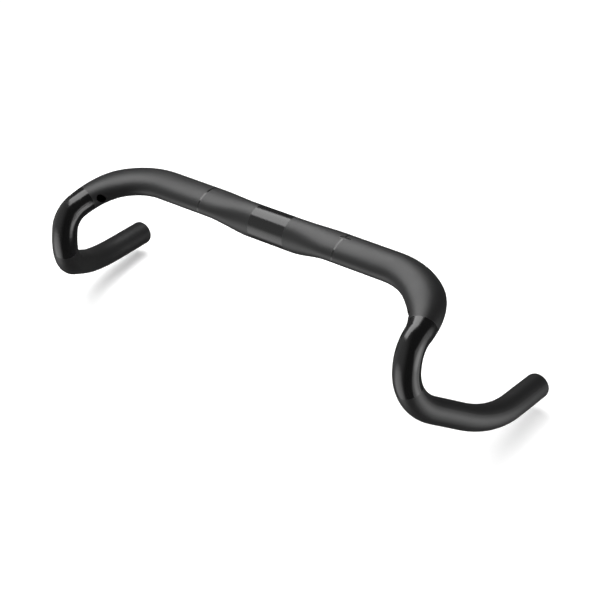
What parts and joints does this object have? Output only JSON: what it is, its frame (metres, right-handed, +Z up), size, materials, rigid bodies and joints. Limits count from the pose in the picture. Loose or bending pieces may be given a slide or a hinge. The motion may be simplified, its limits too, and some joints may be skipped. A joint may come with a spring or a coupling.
{
  "type": "drop handlebar",
  "caption": "Road drop handlebar with flattened tops, round clamp area, flared drops, cable ports and expanding end plugs.",
  "frame": {"origin": "middle of the stem clamp area, on its axis", "axes": "+X along the clamp axis towards the rider's left, -Y forward, +Z up"},
  "size_m": [0.4992, 0.1595, 0.1509],
  "materials": {
    "bar_finish": "matte black paint over moulded carbon composite, with clear gloss bands at the clamp and on the hooks",
    "bare_composite": "unpainted moulded carbon composite",
    "cap_plastic": "fine-textured black nylon",
    "expander_rubber": "smooth black rubber",
    "nut_alloy": "turned, clear anodised",
    "screw_steel": "black oxide"
  },
  "bodies": {
    "bar": {"centre_section": "bar_finish", "left_drop_section": "bar_finish", "right_drop_section": "bar_finish", "left_joint_sleeve": "bare_composite", "right_joint_sleeve": "bare_composite"},
    "left_plug": {"left_plug_cap": "cap_plastic", "left_plug_expander": "expander_rubber"},
    "left_screw": {"left_plug_screw": "screw_steel"},
    "left_nut": {"left_plug_wedge_nut": "nut_alloy"},
    "right_plug": {"right_plug_cap": "cap_plastic", "right_plug_expander": "expander_rubber"},
    "right_screw": {"right_plug_screw": "screw_steel"},
    "right_nut": {"right_plug_wedge_nut": "nut_alloy"}
  },
  "joints": [
    {"name": "left_plug_slide", "type": "slide", "parent": "bar", "child": "left_plug", "axis": [0.046, 0.9919, -0.1182], "range_m": [0, 0.04]},
    {"name": "left_screw_turn", "type": "hinge", "parent": "left_plug", "child": "left_screw", "pos_m": [0.2375, 0.0645, -0.123], "axis": [0.046, 0.9919, -0.1182], "range_deg": [0, 2165]},
    {"name": "left_nut_travel", "type": "slide", "parent": "left_plug", "child": "left_nut", "axis": [-0.046, -0.9919, 0.1182], "range_m": [0, 0.0042]},
    {"name": "right_plug_slide", "type": "slide", "parent": "bar", "child": "right_plug", "axis": [-0.046, 0.9919, -0.1182], "range_m": [0, 0.04]},
    {"name": "right_screw_turn", "type": "hinge", "parent": "right_plug", "child": "right_screw", "pos_m": [-0.2375, 0.0645, -0.123], "axis": [-0.046, 0.9919, -0.1182], "range_deg": [0, 2165]},
    {"name": "right_nut_travel", "type": "slide", "parent": "right_plug", "child": "right_nut", "axis": [0.046, -0.9919, 0.1182], "range_m": [0, 0.0042]}
  ],
  "couplings": [
    {"joint": "left_screw_turn", "follows": "left_nut_travel", "rad_per_m": 8976},
    {"joint": "right_screw_turn", "follows": "right_nut_travel", "rad_per_m": 8976}
  ]
}
